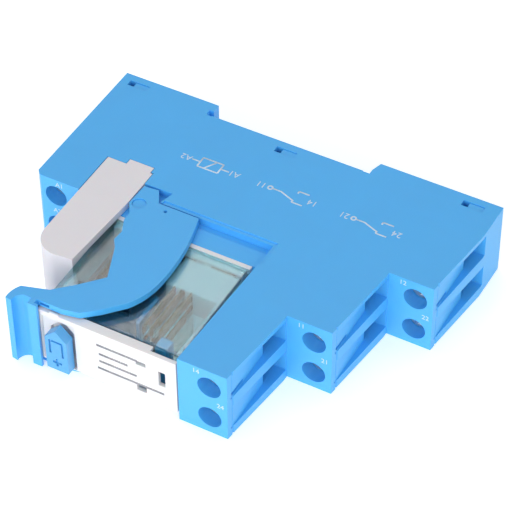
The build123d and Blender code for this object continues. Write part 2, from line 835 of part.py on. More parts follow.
well_right = button_left + button_width + 0.5
plate_step = 5.6
windows = ((7.3, 2.7, 2.0, 1.0), (3.0, 0.9, 1.4, 3.6), (7.3, -3.8, 2.0, 1.3))
with BuildPart() as label_plate:
    with BuildSketch(Plane.XZ.offset(-relay_front)):
        with Locations((relay_middle, 0)):
            Rectangle(relay_length, relay_width)
    extrude(amount=-plate_depth)
    # Hollow back, beside the button's well.
    with BuildSketch(Plane.XZ.offset(-relay_front - plate_face)):
        with Locations(((well_right + 0.8 + relay_right - 0.8) / 2, 0)):
            Rectangle(relay_right - well_right - 1.6, relay_width - 1.6)
    extrude(amount=-plate_depth, mode=Mode.SUBTRACT)
    # A step in the rear of the top edge, towards the contact side.
    with BuildSketch(Plane.XZ.offset(-relay_front - plate_face)):
        with Locations((relay_right - plate_step / 2 + 0.5, relay_half - 1.0)):
            Rectangle(plate_step + 1.0, 3.0)
    extrude(amount=-plate_depth, mode=Mode.SUBTRACT)
    # The button's well, with a wide shallow part and a deep part of the button's shape.
    with BuildSketch(Plane.XZ.offset(-relay_front + 0.5)):
        with Locations(((relay_left + 0.7 + well_right) / 2, (5.0 + button_bottom - 0.25) / 2)):
            Rectangle(well_right - relay_left - 0.7, 5.0 - button_bottom + 0.25)
    extrude(amount=-0.5 - 0.6, mode=Mode.SUBTRACT)
    with BuildSketch(Plane.XZ.offset(-relay_front + 0.5)):
        add(button_outline(margin=0.25))
    extrude(amount=-0.5 - 1.35, mode=Mode.SUBTRACT)
    with BuildSketch(Plane.XZ.offset(-relay_front + 0.5)):
        with Locations((button_x, button_stem_z)):
            Circle(stem_radius + 0.1)
    extrude(amount=-0.5 - plate_depth - 0.5, mode=Mode.SUBTRACT)
    # Three small windows in the face.
    with BuildSketch(Plane.XZ.offset(-relay_front + 0.5)):
        for from_right, level, width, height in windows:
            with Locations((relay_right - from_right, level)):
                Rectangle(width, height)
    extrude(amount=-plate_face - 1.0, mode=Mode.SUBTRACT)
    # The nubs that stand in front of the clip's arms.
    with BuildSketch(Plane.XZ.offset(-relay_front)):
        with Locations((relay_left + 3.45, relay_half + 0.05), (relay_left + 3.45, -relay_half - 0.05)):
            Rectangle(1.9, 0.5)
    extrude(amount=-0.5)
save(label_plate.part, "label_plate")

with BuildPart() as test_button:
    with BuildSketch(Plane.XZ.offset(-relay_front + button_proud)):
        add(button_outline())
    extrude(amount=-button_proud - 0.05)
    with BuildSketch(Plane.XZ.offset(-relay_front - 0.05)):
        with Locations((button_x, button_stem_z)):
            Circle(stem_radius)
    extrude(amount=-5.7)
    # Bent arrow groove and a cross for a screwdriver tip.
    with BuildSketch(Plane.XZ.offset(-relay_front + button_proud)):
        with Locations((button_x - 1.3, 0.2), (button_x + 1.3, -0.1)):
            Rectangle(0.45, 3.4)
        with Locations((button_x, 1.75)):
            Rectangle(2.6, 0.45)
        with Locations((button_x, -3.6)):
            Rectangle(1.9, 0.5)
            Rectangle(0.5, 1.9)
    extrude(amount=-0.4, mode=Mode.SUBTRACT)
save(test_button.part, "test_button")

with BuildPart() as test_button_spring:
    for i in range(3):
        with BuildSketch(Plane.XZ.offset(-relay_front - 0.15 - 0.4 * i)):
            with Locations((button_x, button_stem_z)):
                Circle(stem_radius + 0.55)
                Circle(stem_radius + 0.2, mode=Mode.SUBTRACT)
        extrude(amount=-0.25)
save(test_button_spring.part, "test_button_spring")


# ---- Relay: coil and armature ----
yoke_right = relay_right - 13.8
yoke_plate = 0.9
coil_side_gap = 0.9
coil_far_gap = 1.35
coil_room = yoke_right - yoke_plate - coil_side_gap - relay_left - can_wall - coil_far_gap
flange_size = min(2 * inner_half, coil_room)
winding_radius = flange_size / 2 - 0.45
coil_x = yoke_right - yoke_plate - coil_side_gap - flange_size / 2
yoke_rear = base_front - 0.1
core_front = inside_front + 6.05
yoke_end = core_front - 0.3
bobbin_rear = yoke_rear - yoke_plate - 0.05
bobbin_front = core_front + 0.7
flange_thickness = 0.8
core_share = 0.21
core_radius = core_share * flange_size
armature_gap = 0.95
armature_thickness = 0.9
pivot_line = (yoke_right + 0.1, core_front - armature_gap - armature_thickness / 2)

with BuildPart() as coil_core:
    with BuildSketch(Plane.XZ.offset(-yoke_rear)):
        with Locations((coil_x, 0)):
            Circle(core_radius)
    extrude(amount=yoke_rear - core_front)
    with BuildSketch(Plane.XZ.offset(-core_front)):
        with Locations((coil_x, 0)):
            Circle(core_radius + 1.0)
    extrude(amount=-(bobbin_front - core_front - 0.05))
save(coil_core.part, "coil_core")

with BuildPart() as coil_yoke:
    with BuildSketch(Plane.XY.offset(-4.0)):
        with Locations(((coil_x - 4.2 + yoke_right) / 2, yoke_rear - yoke_plate / 2)):
            Rectangle(yoke_right - coil_x + 4.2, yoke_plate)
        with Locations((yoke_right - yoke_plate / 2, (yoke_rear + yoke_end) / 2)):
            Rectangle(yoke_plate, yoke_rear - yoke_end)
    extrude(amount=8.0)
    with BuildSketch(Plane.XZ.offset(-yoke_rear - 0.5)):
        with Locations((coil_x, 0)):
            Circle(core_radius + 0.02)
    extrude(amount=yoke_plate + 1.0, mode=Mode.SUBTRACT)
save(coil_yoke.part, "coil_yoke")

with BuildPart() as coil_bobbin:
    for rear in (bobbin_rear, bobbin_front + flange_thickness):
        with BuildSketch(Plane.XZ.offset(-rear)):
            with Locations((coil_x, 0)):
                RectangleRounded(flange_size, flange_size - 0.6, 1.2)
        extrude(amount=flange_thickness)
    with BuildSketch(Plane.XZ.offset(-bobbin_rear)):
        with Locations((coil_x, 0)):
            Circle(core_radius + 0.75)
    extrude(amount=bobbin_rear - bobbin_front)
    with BuildSketch(Plane.XZ.offset(-bobbin_rear - 0.5)):
        with Locations((coil_x, 0)):
            Circle(core_radius + 0.05)
    extrude(amount=bobbin_rear - bobbin_front + 1.0, mode=Mode.SUBTRACT)
save(coil_bobbin.part, "coil_bobbin")

with BuildPart() as coil_winding:
    with BuildSketch(Plane.XZ.offset(-bobbin_rear + flange_thickness + 0.02)):
        with Locations((coil_x, 0)):
            Circle(winding_radius)
            Circle(core_radius + 0.77, mode=Mode.SUBTRACT)
    extrude(amount=bobbin_rear - bobbin_front - 2 * flange_thickness - 0.04)
save(coil_winding.part, "coil_winding")

with BuildPart() as coil_terminals:
    with BuildSketch(Plane.XZ.offset(-pin_rear)):
        for level in screw_levels:
            with Locations((coil_pin_x, level)):
                Rectangle(pin_thickness, pin_height)
    extrude(amount=pin_rear - base_front + 0.08)
save(coil_terminals.part, "coil_terminals")

armature_left = coil_x - 4.3
leg_right = pivot_line[0] + 1.1
leg_rear = pivot_line[1] + 7.3
with BuildPart() as armature:
    with BuildSketch(Plane.XY.offset(-3.8)):
        with Locations(((armature_left + leg_right) / 2, pivot_line[1])):
            Rectangle(leg_right - armature_left, armature_thickness)
        with Locations((leg_right - armature_thickness / 2, (pivot_line[1] + leg_rear) / 2)):
            Rectangle(armature_thickness, leg_rear - pivot_line[1])
    extrude(amount=7.6)
save(armature.part, "armature")


# ---- Relay: contacts ----
leaf_bands = ((leaf_low, leaf_high), (-leaf_high, -leaf_low))


def contact_blade(pin_x, leaf_at, leaf_end):
    """A relay blade with its foot and its fixed leaf, one solid for each pole."""
    with BuildPart() as contact:
        for level, (low, high) in zip(screw_levels, leaf_bands):
            with BuildSketch(Plane.XY.offset(low)):
                strip([(pin_x, foot_y), (leaf_at, foot_y), (leaf_at, leaf_end)], leaf_thickness)
            extrude(amount=high - low)
            with BuildSketch(Plane.XZ.offset(-pin_rear)):
                with Locations((pin_x, level)):
                    Rectangle(pin_thickness, pin_height)
            extrude(amount=pin_rear - foot_y + leaf_thickness / 2)
    return contact.part


def rivets(spans):
    """Round contact rivets lying along X, one for each pole and span."""
    with BuildPart() as group:
        for start, end in spans:
            with BuildSketch(Plane.YZ.offset(start)):
                with Locations(*[(rivet_y, (low + high) / 2) for low, high in leaf_bands]):
                    Circle(rivet_radius)
            extrude(amount=end - start)
    return group.part


save(contact_blade(contact_pin_x[2], closed_x, leaf_front), "closed_contacts")
save(contact_blade(contact_pin_x[0], open_x, leaf_front), "open_contacts")
save(contact_blade(contact_pin_x[1], common_x, base_front - 3.4), "common_terminals")
closed_face = closed_x + leaf_thickness / 2
open_face = open_x - leaf_thickness / 2
save(rivets([(closed_face, closed_face + rivet_head), (open_face - rivet_head, open_face)]), "fixed_rivets")

with BuildPart() as moving_leaves:
    for low, high in leaf_bands:
        with BuildSketch(Plane.XY.offset(low)):
            strip([(leaf_x, base_front - 1.5), (leaf_x, leaf_front)], leaf_thickness)
        extrude(amount=high - low)
save(moving_leaves.part, "moving_leaves")
leaf_left, leaf_right = leaf_x - leaf_thickness / 2, leaf_x + leaf_thickness / 2
save(rivets([(leaf_left - rivet_head, leaf_left), (leaf_right, leaf_right + rivet_head)]), "moving_rivets")

card_left = leg_right + 0.35
card_thickness = 0.7
head_face = leaf_left - 0.15
card_middle = rivet_y + 3.0
head_middle = rivet_y + 3.4
with BuildPart() as actuator_card:
    with BuildSketch(Plane.XY.offset(-4.4)):
        with Locations((card_left + card_thickness / 2, card_middle)):
            Rectangle(card_thickness, 7.0)
    extrude(amount=8.8)
    with BuildSketch(Plane.XY.offset(-0.8)):
        with Locations(((card_left + head_face) / 2, head_middle)):
            Rectangle(head_face - card_left, 1.6)
    extrude(amount=1.6)
    with BuildSketch(Plane.XY.offset(-2.2)):
        with Locations((head_face - 0.2, head_middle)):
            Rectangle(0.4, 1.6)
    extrude(amount=4.4)
save(actuator_card.part, "actuator_card")

frame_half = inner_half - can_gap
post_x = relay_right - 4.6
with BuildPart() as inner_frame:
    # A low plate in front of the contacts, under the button's stem and beside it.
    with BuildSketch(Plane.XZ.offset(-frame_front)):
        with Locations((relay_middle, (frame_low - frame_half) / 2)):
            Rectangle(relay_length - 2 * can_wall - 0.2, frame_low + frame_half)
        with Locations((button_x, button_stem_z)):
            Circle(stem_radius + 0.15, mode=Mode.SUBTRACT)
    extrude(amount=-frame_thickness)
    # The corner post beside the contacts.
    with BuildSketch(Plane.XY.offset(-frame_half)):
        with Locations((post_x, (inside_front + frame_front + frame_thickness) / 2 + can_gap)):
            Rectangle(post_width, frame_front + frame_thickness - inside_front - 2 * can_gap)
    extrude(amount=2 * frame_half)
save(inner_frame.part, "inner_frame")
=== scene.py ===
"""Plug-in relay in its stepped rail socket: the visual model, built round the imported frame."""

import logging
import math
from dataclasses import dataclass, field
from enum import Enum

import bmesh
import bpy
import numpy as np
from mathutils import Matrix, Vector


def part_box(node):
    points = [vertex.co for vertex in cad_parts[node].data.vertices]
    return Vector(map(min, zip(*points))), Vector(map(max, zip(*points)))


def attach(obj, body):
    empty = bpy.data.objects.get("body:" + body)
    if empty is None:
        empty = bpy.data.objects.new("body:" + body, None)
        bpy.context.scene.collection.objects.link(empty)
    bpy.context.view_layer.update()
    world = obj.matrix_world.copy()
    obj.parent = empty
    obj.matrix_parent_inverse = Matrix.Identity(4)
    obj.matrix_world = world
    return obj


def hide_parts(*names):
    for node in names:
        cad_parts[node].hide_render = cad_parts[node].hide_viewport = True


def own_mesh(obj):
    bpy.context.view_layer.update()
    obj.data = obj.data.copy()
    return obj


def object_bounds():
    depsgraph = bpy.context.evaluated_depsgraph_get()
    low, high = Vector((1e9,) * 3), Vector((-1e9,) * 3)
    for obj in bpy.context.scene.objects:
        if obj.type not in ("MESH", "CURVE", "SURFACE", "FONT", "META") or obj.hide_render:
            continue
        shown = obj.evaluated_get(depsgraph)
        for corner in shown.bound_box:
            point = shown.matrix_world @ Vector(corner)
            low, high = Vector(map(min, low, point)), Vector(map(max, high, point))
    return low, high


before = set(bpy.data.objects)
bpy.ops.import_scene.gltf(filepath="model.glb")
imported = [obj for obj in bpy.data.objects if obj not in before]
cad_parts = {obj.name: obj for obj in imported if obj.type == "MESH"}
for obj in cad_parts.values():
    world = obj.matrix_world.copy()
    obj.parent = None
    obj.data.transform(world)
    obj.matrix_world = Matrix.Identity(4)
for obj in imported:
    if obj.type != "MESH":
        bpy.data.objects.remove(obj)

LOG = logging.getLogger("relay")
MM = 0.001
CAD_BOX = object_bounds()
PRINT_LIFT = 0.015 * MM
EASE_SEGMENTS = 2
EASE_ANGLE = math.radians(32.0)
FLAT_ANGLE = math.radians(1.0)
WELD_GAP = 2e-6

Triple = tuple[float, float, float]
Link = bpy.types.NodeSocket
Piece = bpy.types.Object


# --------------------------------------------------------------------------- node helpers


class Graph:
    """A thin wrapper round one node tree that adds nodes and links in one call."""

    def __init__(self, tree: bpy.types.NodeTree) -> None:
        """Keep the tree that the calls work on."""
        self.tree = tree

    def feed(self, target: Link, value: object) -> None:
        """Give an input a value, or a link when the value is another node's output."""
        if isinstance(value, Link):
            self.tree.links.new(value, target)
        else:
            target.default_value = value

    def node(self, kind: str, **sockets: object) -> bpy.types.Node:
        """Add a node and fill its inputs.

        Args:
            kind: Blender's name of the node type.
            sockets: input names, with underscores for spaces, each a value or an output socket.

        Returns:
            The new node.
        """
        made = self.tree.nodes.new(kind)
        for key, value in sockets.items():
            self.feed(made.inputs[key.replace("_", " ")], value)
        return made

    def group(self, effect: bpy.types.NodeTree, **sockets: object) -> bpy.types.Node:
        """Add a shared effect and fill its inputs, each a value or an output socket."""
        made = self.tree.nodes.new("ShaderNodeGroup")
        made.node_tree = effect
        for key, value in sockets.items():
            self.feed(made.inputs[key], value)
        return made

    def link(self, source: Link, target: Link) -> None:
        """Join two sockets."""
        self.tree.links.new(source, target)

    def maths(self, operation: str, first: object, second: object = 0.0) -> Link:
        """Add a Math node and return its output."""
        made = self.tree.nodes.new("ShaderNodeMath")
        made.operation = operation
        for socket, value in zip(made.inputs, (first, second)):
            self.feed(socket, value)
        return made.outputs[0]

    def mix(self, factor: object, first: object, second: object, blend: str = "MIX") -> Link:
        """Add a colour Mix node and return its colour."""
        made = self.tree.nodes.new("ShaderNodeMix")
        made.data_type = "RGBA"
        made.blend_type = blend
        for index, value in ((0, factor), (6, first), (7, second)):
            self.feed(made.inputs[index], value)
        return made.outputs[2]

    def remap(self, value: object, low: float, high: float, to_low: float, to_high: float) -> Link:
        """Add a clamped Map Range node and return its result."""
        made = self.node("ShaderNodeMapRange", Value=value)
        for index, limit in enumerate((low, high, to_low, to_high), start=1):
            made.inputs[index].default_value = limit
        return made.outputs["Result"]


def colour(rgb: Triple) -> tuple[float, float, float, float]:
    """Return a linear colour with full alpha."""
    return (*rgb, 1.0)


def new_group(
    name: str, inputs: dict[str, tuple[str, object]], outputs: dict[str, str]
) -> bpy.types.NodeTree:
    """Make an empty shader node group with named sockets.

    Args:
        name: the group's name.
        inputs: socket name to its type and default value.
        outputs: socket name to its type.

    Returns:
        The node group's tree.
    """
    tree = bpy.data.node_groups.new(name, "ShaderNodeTree")
    for label, (kind, default) in inputs.items():
        made = tree.interface.new_socket(name=label, in_out="INPUT", socket_type=kind)
        made.default_value = default
    for label, kind in outputs.items():
        tree.interface.new_socket(name=label, in_out="OUTPUT", socket_type=kind)
    return tree


def moulded_group() -> bpy.types.NodeTree:
    """Build the effect of moulded plastic: faint flow marks, mottling, spark texture and fine dust.

    Colour is the tint times a slow noise, with rare pale specks. Height is a fine noise plus a slower
    waviness. Roughness is the given value plus a share of both noises.

    Returns:
        The group, with outputs Colour, Roughness and Height.
    """
    tree = new_group(
        "moulded_skin",
        {
            "Tint": ("NodeSocketColor", (0.5, 0.5, 0.5, 1.0)),
            "Roughness": ("NodeSocketFloat", 0.4),
            "Grain": ("NodeSocketFloat", 6000.0),
            "Mottle": ("NodeSocketFloat", 0.06),
        },
        {"Colour": "NodeSocketColor", "Roughness": "NodeSocketFloat", "Height": "NodeSocketFloat"},
    )
    g = Graph(tree)
    given, out = tree.nodes.new("NodeGroupInput"), tree.nodes.new("NodeGroupOutput")
    place = g.node("ShaderNodeTexCoord").outputs["Object"]
    flow = g.node("ShaderNodeTexNoise", Vector=place, Scale=90.0, Detail=4.0, Roughness=0.55, Distortion=0.8)
    grain = given.outputs["Grain"]
    spark = g.node("ShaderNodeTexNoise", Vector=place, Scale=grain, Detail=3.0, Roughness=0.6)
    dust = g.node("ShaderNodeTexVoronoi", Vector=place, Scale=1900.0)
    speck = g.remap(dust.outputs["Distance"], 0.03, 0.10, 1.0, 0.0)
    rare = g.node("ShaderNodeTexNoise", Vector=place, Scale=700.0, Detail=1.0)
    speck = g.maths("MULTIPLY", speck, g.remap(rare.outputs["Fac"], 0.66, 0.72, 0.0, 0.35))
    centred = g.maths("SUBTRACT", flow.outputs["Fac"], 0.5)
    swing = g.maths("MULTIPLY", given.outputs["Mottle"], 2.0)
    gain = g.maths("ADD", 1.0, g.maths("MULTIPLY", centred, swing))
    shade = g.node("ShaderNodeCombineColor", Red=gain, Green=gain, Blue=gain)
    tinted = g.mix(1.0, given.outputs["Tint"], shade.outputs[0], "MULTIPLY")
    g.link(g.mix(speck, tinted, (0.85, 0.87, 0.9, 1.0)), out.inputs["Colour"])
    rough = g.maths("ADD", given.outputs["Roughness"], g.maths("MULTIPLY", centred, 0.12))
    fine = g.maths("SUBTRACT", spark.outputs["Fac"], 0.5)
    g.link(g.maths("ADD", rough, g.maths("MULTIPLY", fine, 0.10)), out.inputs["Roughness"])
    wavy = g.maths("MULTIPLY", flow.outputs["Fac"], 0.8)
    g.link(g.maths("ADD", spark.outputs["Fac"], wavy), out.inputs["Height"])
    return tree


def worked_metal_group() -> bpy.types.NodeTree:
    """Build the effect of rolled, stamped or plated metal: drawn streaks and tarnish.

    The streaks are noise on coordinates stretched by the given factors. Tarnish is a slow noise that mixes
    the base colour with a darker one and raises the roughness.

    Returns:
        The group, with outputs Colour, Roughness and Height.
    """
    tree = new_group(
        "worked_metal",
        {
            "Tint": ("NodeSocketColor", (0.7, 0.7, 0.7, 1.0)),
            "Tarnish": ("NodeSocketColor", (0.4, 0.4, 0.4, 1.0)),
            "Roughness": ("NodeSocketFloat", 0.3),
            "Stretch": ("NodeSocketVector", (200.0, 4000.0, 4000.0)),
        },
        {"Colour": "NodeSocketColor", "Roughness": "NodeSocketFloat", "Height": "NodeSocketFloat"},
    )
    g = Graph(tree)
    given, out = tree.nodes.new("NodeGroupInput"), tree.nodes.new("NodeGroupOutput")
    place = g.node("ShaderNodeTexCoord").outputs["Object"]
    drawn = g.tree.nodes.new("ShaderNodeVectorMath")
    drawn.operation = "MULTIPLY"
    g.link(place, drawn.inputs[0])
    g.link(given.outputs["Stretch"], drawn.inputs[1])
    streak = g.node("ShaderNodeTexNoise", Vector=drawn.outputs[0], Scale=1.0, Detail=3.0, Roughness=0.6)
    stain = g.node("ShaderNodeTexNoise", Vector=place, Scale=420.0, Detail=5.0, Roughness=0.6, Distortion=0.6)
    mask = g.remap(stain.outputs["Fac"], 0.45, 0.72, 0.0, 0.75)
    g.link(g.mix(mask, given.outputs["Tint"], given.outputs["Tarnish"]), out.inputs["Colour"])
    rough = g.maths("ADD", given.outputs["Roughness"], g.maths("MULTIPLY", mask, 0.18))
    brushed = g.remap(streak.outputs["Fac"], 0.3, 0.7, -0.05, 0.08)
    g.link(g.maths("ADD", rough, brushed), out.inputs["Roughness"])
    g.link(streak.outputs["Fac"], out.inputs["Height"])
    return tree


class Groups:
    """The shared node groups, each built once."""

    def __init__(self) -> None:
        """Build every shared effect."""
        self.moulded = moulded_group()
        self.metal = worked_metal_group()


def start_material(name: str) -> tuple[bpy.types.Material, Graph, bpy.types.Node]:
    """Make a node material that holds one Principled shader.

    Args:
        name: the material's name.

    Returns:
        The material, its graph and its shader node.
    """
    made = bpy.data.materials.new(name)
    made.use_nodes = True
    made.node_tree.nodes.clear()
    g = Graph(made.node_tree)
    shader = g.node("ShaderNodeBsdfPrincipled")
    out = g.node("ShaderNodeOutputMaterial")
    g.link(shader.outputs[0], out.inputs["Surface"])
    return made, g, shader


def add_bump(g: Graph, shader: bpy.types.Node, height: Link, depth: float, strength: float) -> None:
    """Feed the shader's normal from a height through a Bump node."""
    bump = g.node("ShaderNodeBump", Height=height, Distance=depth, Strength=strength)
    g.link(bump.outputs[0], shader.inputs["Normal"])


@dataclass(frozen=True)
class MouldedFinish:
    """Opaque moulded plastic."""

    name: str
    tint: Triple
    roughness: float = 0.42
    grain: float = 6000.0
    depth: float = 0.00002
    mottle: float = 0.05
    scatter_depth: float = 0.0
    scatter: float = 0.15
    ior: float = 1.5
    bump: float = 0.35

    def build(self, groups: Groups) -> bpy.types.Material:
        """Make the material.

        Args:
            groups: the shared node groups.

        Returns:
            The finished material.
        """
        made, g, shader = start_material(self.name)
        skin = g.group(
            groups.moulded,
            Tint=colour(self.tint),
            Roughness=self.roughness,
            Grain=self.grain,
            Mottle=self.mottle,
        )
        g.link(skin.outputs["Colour"], shader.inputs["Base Color"])
        g.link(skin.outputs["Roughness"], shader.inputs["Roughness"])
        shader.inputs["IOR"].default_value = self.ior
        if self.scatter_depth:
            shader.inputs["Subsurface Weight"].default_value = self.scatter
            shader.inputs["Subsurface Scale"].default_value = self.scatter_depth
        add_bump(g, shader, skin.outputs["Height"], self.depth, self.bump)
        return made


@dataclass(frozen=True)
class MetalFinish:
    """Bare, plated or drawn metal."""

    name: str
    tint: Triple
    tarnish: Triple
    roughness: float = 0.28
    stretch: Triple = (300.0, 5000.0, 5000.0)
    depth: float = 0.000008
    bump: float = 0.5

    def build(self, groups: Groups) -> bpy.types.Material:
        """Make the material.

        Args:
            groups: the shared node groups.

        Returns:
            The finished material.
        """
        made, g, shader = start_material(self.name)
        worked = g.group(
            groups.metal,
            Tint=colour(self.tint),
            Tarnish=colour(self.tarnish),
            Roughness=self.roughness,
            Stretch=self.stretch,
        )
        g.link(worked.outputs["Colour"], shader.inputs["Base Color"])
        g.link(worked.outputs["Roughness"], shader.inputs["Roughness"])
        shader.inputs["Metallic"].default_value = 1.0
        add_bump(g, shader, worked.outputs["Height"], self.depth, self.bump)
        return made


@dataclass(frozen=True)
class ClearFinish:
    """Clear or tinted moulded plastic that lets light through."""

    name: str
    tint: Triple
    roughness: float = 0.04
    ior: float = 1.49
    cover: float = 1.0
    grain: float = 900.0
    mottle: float = 0.03
    depth: float = 0.00001
    bump: float = 0.2

    def build(self, groups: Groups) -> bpy.types.Material:
        """Make the material.

        Args:
            groups: the shared node groups.

        Returns:
            The finished material.
        """
        made, g, shader = start_material(self.name)
        skin = g.group(
            groups.moulded,
            Tint=colour(self.tint),
            Roughness=self.roughness,
            Grain=self.grain,
            Mottle=self.mottle,
        )
        g.link(skin.outputs["Colour"], shader.inputs["Base Color"])
        shader.inputs["Roughness"].default_value = self.roughness
        shader.inputs["IOR"].default_value = self.ior
        shader.inputs["Transmission Weight"].default_value = 1.0
        shader.inputs["Alpha"].default_value = self.cover
        add_bump(g, shader, skin.outputs["Height"], self.depth, self.bump)
        return made


@dataclass(frozen=True)
class InkFinish:
    """Pad-printed or laser-marked lettering, slightly broken where the plastic's texture is high."""

    name: str
    tint: Triple
    faded: Triple
    grain: float = 5200.0
    wear: float = 0.8

    def build(self, groups: Groups) -> bpy.types.Material:
        """Make the material.

        Args:
            groups: the shared node groups, which this finish doesn't use.

        Returns:
            The finished material.
        """
        made, g, shader = start_material(self.name)
        place = g.node("ShaderNodeTexCoord").outputs["Object"]
        broken = g.node("ShaderNodeTexNoise", Vector=place, Scale=self.grain, Detail=3.0)
        mask = g.remap(broken.outputs["Fac"], 0.50, 0.68, 0.0, self.wear)
        g.link(g.mix(mask, colour(self.tint), colour(self.faded)), shader.inputs["Base Color"])
        g.link(g.remap(broken.outputs["Fac"], 0.3, 0.7, 0.45, 0.62), shader.inputs["Roughness"])
        return made


@dataclass(frozen=True)
class PaperFloor:
    """Plain pale sweep under the object."""

    name: str = "studio_paper"
    tint: Triple = (0.93, 0.93, 0.93)
    fibre_tint: Triple = (0.9, 0.9, 0.9)
    fibre_share: float = 0.02
    roughness: float = 0.9
    specular: float = 0.1
    glow: float = 0.42

    def build(self, groups: Groups) -> bpy.types.Material:
        """Make the material.

        Args:
            groups: the shared node groups, which this finish doesn't use.

        Returns:
            The finished material.
        """
        made, g, shader = start_material(self.name)
        place = g.node("ShaderNodeTexCoord").outputs["Object"]
        fibre = g.node("ShaderNodeTexNoise", Vector=place, Scale=60.0, Detail=2.0)
        share = g.remap(fibre.outputs["Fac"], 0.3, 0.7, 0.0, self.fibre_share)
        g.link(g.mix(share, colour(self.tint), colour(self.fibre_tint)), shader.inputs["Base Color"])
        shader.inputs["Roughness"].default_value = self.roughness
        shader.inputs["Specular IOR Level"].default_value = self.specular
        shader.inputs["Emission Color"].default_value = colour(self.tint)
        shader.inputs["Emission Strength"].default_value = self.glow
        return made


SHELL_TINT = (0.074, 0.44, 0.90)
TURNED = (900.0, 900.0, 900.0)
MACHINED = (1500.0, 1500.0, 1500.0)
ALONG_Y = (5000.0, 300.0, 5000.0)
WOUND = (900.0, 9000.0, 900.0)


class Finish(Enum):
    """Every finish on the object, by the record's slot or by its own part."""

    SOCKET_BLUE = MouldedFinish("socket_blue", SHELL_TINT, 0.44, 5200.0, 0.00003, 0.05, 0.0004)
    CLIP_BLUE = MouldedFinish("clip_blue", SHELL_TINT, 0.40, 7000.0, 0.00002, 0.04, 0.0004)
    BUTTON_BLUE = MouldedFinish("button_blue", (0.09, 0.38, 0.74), 0.34, 8000.0, 0.00001, 0.04, 0.0004)
    FRAME_BLUE = MouldedFinish("frame_blue", (0.08, 0.46, 0.80), 0.38, 8000.0, 0.00001, 0.04)
    DIVIDER = MouldedFinish("divider_plastic", (0.07, 0.30, 0.66), 0.5, 6000.0)
    MODULE_GREY = MouldedFinish("module_grey", (0.76, 0.74, 0.78), 0.55, 4200.0, 0.00004, 0.03, 0.0005)
    RELAY_WHITE = MouldedFinish("relay_white", (0.77, 0.77, 0.79), 0.46, 7000.0, 0.00002, 0.03, 0.0005)
    BOBBIN = MouldedFinish("bobbin_black", (0.03, 0.03, 0.035), 0.45, 7000.0)
    BOARD = MouldedFinish("board_green", (0.03, 0.20, 0.08), 0.35, 9000.0, 0.00001, 0.10)
    COMPONENT = MouldedFinish("component_body", (0.05, 0.05, 0.05), 0.4, 9000.0)
    CLEAR = ClearFinish("clear_tint", (0.30, 0.88, 1.0), cover=0.5)
    LAMP = ClearFinish("lamp_lens", (0.35, 0.95, 0.35), 0.2)
    BRASS = MetalFinish("bus_brass", (0.80, 0.60, 0.28), (0.45, 0.30, 0.12), 0.26)
    TIN = MetalFinish("contact_tin", (0.78, 0.77, 0.74), (0.50, 0.49, 0.46), 0.30)
    COPPER = MetalFinish("leaf_copper", (0.46, 0.20, 0.10), (0.20, 0.08, 0.04), 0.24, ALONG_Y)
    SILVER = MetalFinish("rivet_silver", (0.90, 0.89, 0.87), (0.60, 0.59, 0.57), 0.22, TURNED)
    SCREW = MetalFinish("screw_steel", (0.70, 0.69, 0.66), (0.42, 0.41, 0.38), 0.30, MACHINED)
    # Cage steel carries painted shade: its tint and tarnish are far darker than the screws' steel, so the
    # wire windows in front of the cages look dark.
    CAGE_SHADED = MetalFinish("cage_steel", (0.34, 0.33, 0.32), (0.16, 0.15, 0.14), 0.42)
    SPRING = MetalFinish("spring_steel", (0.62, 0.62, 0.62), (0.34, 0.34, 0.34), 0.25)
    IRON = MetalFinish("core_iron", (0.66, 0.66, 0.67), (0.40, 0.40, 0.40), 0.34)
    WINDING = MetalFinish("winding_copper", (0.42, 0.13, 0.05), (0.16, 0.05, 0.03), 0.30, WOUND)
    WIRE = MetalFinish("lead_wire", (0.80, 0.79, 0.76), (0.52, 0.51, 0.48), 0.24, TURNED)
    PRINT_PALE = InkFinish("print_pale", (0.62, 0.74, 0.86), (0.34, 0.55, 0.80))
    PRINT_GREY = InkFinish("print_grey", (0.22, 0.22, 0.25), (0.55, 0.55, 0.57))


@dataclass
class Workshop:
    """Holds the shared node groups and hands out each finish's material, made once."""

    groups: Groups = field(default_factory=Groups)
    made: dict[str, bpy.types.Material] = field(default_factory=dict)

    def material(self, finish: Finish) -> bpy.types.Material:
        """Return the material of a finish, making it the first time."""
        if finish.name not in self.made:
            self.made[finish.name] = finish.value.build(self.groups)
        return self.made[finish.name]

    def dress(self, piece: Piece, finish: Finish, body: str, slot: str) -> Piece:
        """Give a new piece its material and its body.

        Args:
            piece: the new object, already in place.
            finish: the finish that it takes.
            body: the CAD body that it moves with.
            slot: the record's material slot; not used.

        Returns:
            The same piece.
        """
        piece.data.materials.clear()
        piece.data.materials.append(self.material(finish))
        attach(piece, body)
        LOG.info("piece %s on body %s, %d vertices", piece.name, body, len(piece.data.vertices))
        return piece

    def paint(self, node: str, finish: Finish) -> None:
        """Assign a finish to a carried-over CAD node."""
        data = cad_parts[node].data
        data.materials.clear()
        data.materials.append(self.material(finish))
        LOG.info("painted %s with %s", node, finish.value.name)


# --------------------------------------------------------------------------- shape helpers


def new_object(name: str, vertices: np.ndarray, faces: list | np.ndarray) -> Piece:
    """Put arrays into a smooth mesh object.

    Args:
        name: the object's name.
        vertices: points as an (n, 3) array in metres.
        faces: rows of vertex indices, or lists of mixed lengths.

    Returns:
        The new object, at the origin.
    """
    mesh = bpy.data.meshes.new(name)
    mesh.from_pydata(vertices.tolist(), [], [list(map(int, f)) for f in faces])
    mesh.polygons.foreach_set("use_smooth", np.ones(len(mesh.polygons), bool))
    mesh.validate()
    mesh.update()
    made = bpy.data.objects.new(name, mesh)
    bpy.context.scene.collection.objects.link(made)
    return made


